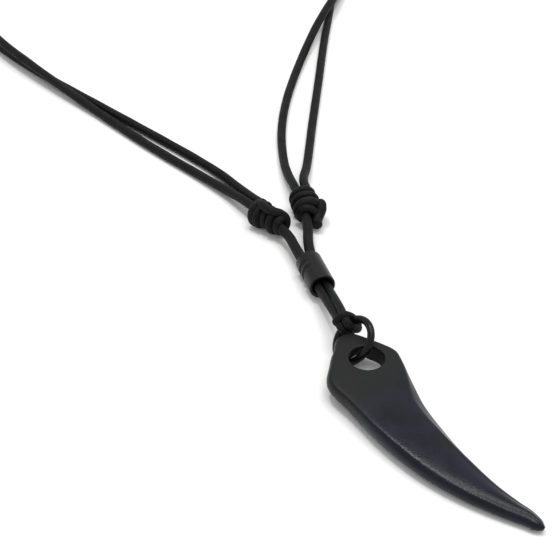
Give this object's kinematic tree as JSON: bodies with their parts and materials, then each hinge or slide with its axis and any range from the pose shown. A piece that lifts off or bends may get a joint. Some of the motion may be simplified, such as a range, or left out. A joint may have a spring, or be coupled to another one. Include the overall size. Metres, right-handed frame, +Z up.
{
  "type": "necklace with a fang-shaped pendant",
  "caption": "Adjustable doubled-cord necklace with sliding knots, a tube bead and a flat fang-shaped pendant hung from a jump ring, laid flat on a surface.",
  "frame": {"origin": "on the surface that the necklace lies on, under the middle of the box round its hard pieces: the pendant, the jump ring and the tube bead", "axes": "+Z up off the surface, +Y from the pendant towards the neck loop, +X to the right seen from the pendant's end with the loop beyond"},
  "size_m": [0.1328, 0.2605, 0.009],
  "materials": {
    "carved_horn": "blackened and polished carved horn, fine file marks on the plate",
    "ring_metal": "gunmetal-plated wire, worn bright on its outside",
    "bead_metal": "blackened turned tube with fine turning lines",
    "waxed_cord": "black waxed cotton cord, slightly dusty on top"
  },
  "bodies": {
    "root": {"tooth_pendant": "carved_horn", "jump_ring": "ring_metal", "tube_bead": "bead_metal", "cord_hitch": "waxed_cord", "left_strand": "waxed_cord", "right_strand": "waxed_cord", "left_knot": "waxed_cord", "right_knot": "waxed_cord"}
  },
  "joints": []
}
